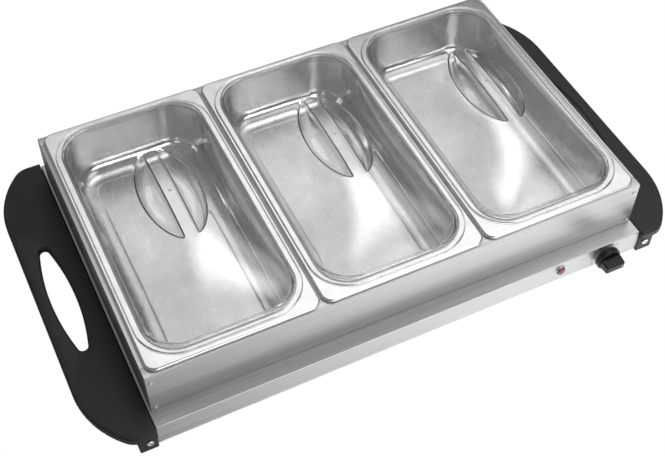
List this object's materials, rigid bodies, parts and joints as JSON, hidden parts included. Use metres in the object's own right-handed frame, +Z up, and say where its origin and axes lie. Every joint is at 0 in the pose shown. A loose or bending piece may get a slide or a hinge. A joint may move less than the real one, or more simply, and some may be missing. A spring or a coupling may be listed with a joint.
{
  "type": "steam table unit",
  "caption": "Electric buffet warmer: heated tray with end handles and a knob, a lift-off steel frame, drop-in pans and clear domed lids.",
  "frame": {"origin": "on the resting surface, under the centre of the whole object", "axes": "+X along the row of pans towards the knob end, +Y from the knob panel to the back, +Z up"},
  "size_m": [0.662, 0.3934, 0.1363],
  "materials": {
    "brushed_steel": "stainless sheet, fine brushing along the length",
    "polished_steel": "bright drawn stainless sheet, near mirror with soft haze",
    "clear_plastic": "clear glossy moulded plastic",
    "zinc_steel": "zinc-plated steel, satin",
    "handle_plastic": "charcoal heat-resistant plastic, fine moulded grain",
    "rubber_foot": "black rubber",
    "chrome_trim": "bright nickel plate",
    "spreader_aluminium": "mill-finish aluminium",
    "element_sheath": "dark oxidised sheath",
    "mineral_wool": "felted mineral fibre",
    "cream_moulding": "cream heat-resistant moulding",
    "knob_plastic": "black satin plastic",
    "red_lens": "dark red translucent lens",
    "wire_sleeve": "braided heat-proof sleeve"
  },
  "bodies": {
    "tray": {"tray_shell": "brushed_steel", "bottom_cover": "zinc_steel", "thermostat_nut": "zinc_steel", "cover_screw_1": "zinc_steel", "cover_screw_2": "zinc_steel", "cover_screw_3": "zinc_steel", "cover_screw_4": "zinc_steel", "cover_screw_5": "zinc_steel", "cover_screw_6": "zinc_steel", "handle_left": "handle_plastic", "handle_right": "handle_plastic", "foot_front_left": "rubber_foot", "foot_front_right": "rubber_foot", "foot_rear_left": "rubber_foot", "foot_rear_right": "rubber_foot", "lamp_bezel": "chrome_trim", "handle_screw_front_left": "chrome_trim", "handle_screw_front_right": "chrome_trim", "handle_screw_rear_left": "chrome_trim", "handle_screw_rear_right": "chrome_trim", "heat_spreader": "spreader_aluminium", "heating_element": "element_sheath", "insulation_mat": "mineral_wool", "thermostat_body": "cream_moulding", "lamp_body": "cream_moulding", "terminal_block": "cream_moulding", "cord_inlet": "knob_plastic", "lamp_lens": "red_lens", "wire_live": "wire_sleeve", "wire_switched": "wire_sleeve", "wire_neutral": "wire_sleeve", "wire_lamp_live": "wire_sleeve", "wire_lamp_neutral": "wire_sleeve"},
    "knob": {"knob": "knob_plastic", "thermostat_shaft": "zinc_steel"},
    "frame": {"frame_front": "brushed_steel", "frame_rear": "brushed_steel", "frame_left": "brushed_steel", "frame_right": "brushed_steel", "cross_bar_left": "brushed_steel", "cross_bar_right": "brushed_steel", "rivet_front_left_upper": "zinc_steel", "rivet_front_left_lower": "zinc_steel", "rivet_front_right_upper": "zinc_steel", "rivet_front_right_lower": "zinc_steel", "rivet_rear_left_upper": "zinc_steel", "rivet_rear_left_lower": "zinc_steel", "rivet_rear_right_upper": "zinc_steel", "rivet_rear_right_lower": "zinc_steel"},
    "pan_left": {"pan_left": "polished_steel"},
    "lid_left": {"lid_left": "clear_plastic"},
    "pan_centre": {"pan_centre": "polished_steel"},
    "lid_centre": {"lid_centre": "clear_plastic"},
    "pan_right": {"pan_right": "polished_steel"},
    "lid_right": {"lid_right": "clear_plastic"}
  },
  "joints": [
    {"name": "knob_turn", "type": "hinge", "parent": "tray", "child": "knob", "pos_m": [0.23, -0.1747, 0.019], "axis": [0, 1, 0], "range_deg": [0, 270]},
    {"name": "frame_lift", "type": "slide", "parent": "tray", "child": "frame", "axis": [0, 0, 1], "range_m": [0, 0.09]},
    {"name": "pan_left_lift", "type": "slide", "parent": "frame", "child": "pan_left", "axis": [0, 0, 1], "range_m": [0, 0.08]},
    {"name": "lid_left_lift", "type": "slide", "parent": "pan_left", "child": "lid_left", "axis": [0, 0, 1], "range_m": [0, 0.06]},
    {"name": "pan_centre_lift", "type": "slide", "parent": "frame", "child": "pan_centre", "axis": [0, 0, 1], "range_m": [0, 0.08]},
    {"name": "lid_centre_lift", "type": "slide", "parent": "pan_centre", "child": "lid_centre", "axis": [0, 0, 1], "range_m": [0, 0.06]},
    {"name": "pan_right_lift", "type": "slide", "parent": "frame", "child": "pan_right", "axis": [0, 0, 1], "range_m": [0, 0.08]},
    {"name": "lid_right_lift", "type": "slide", "parent": "pan_right", "child": "lid_right", "axis": [0, 0, 1], "range_m": [0, 0.06]}
  ]
}
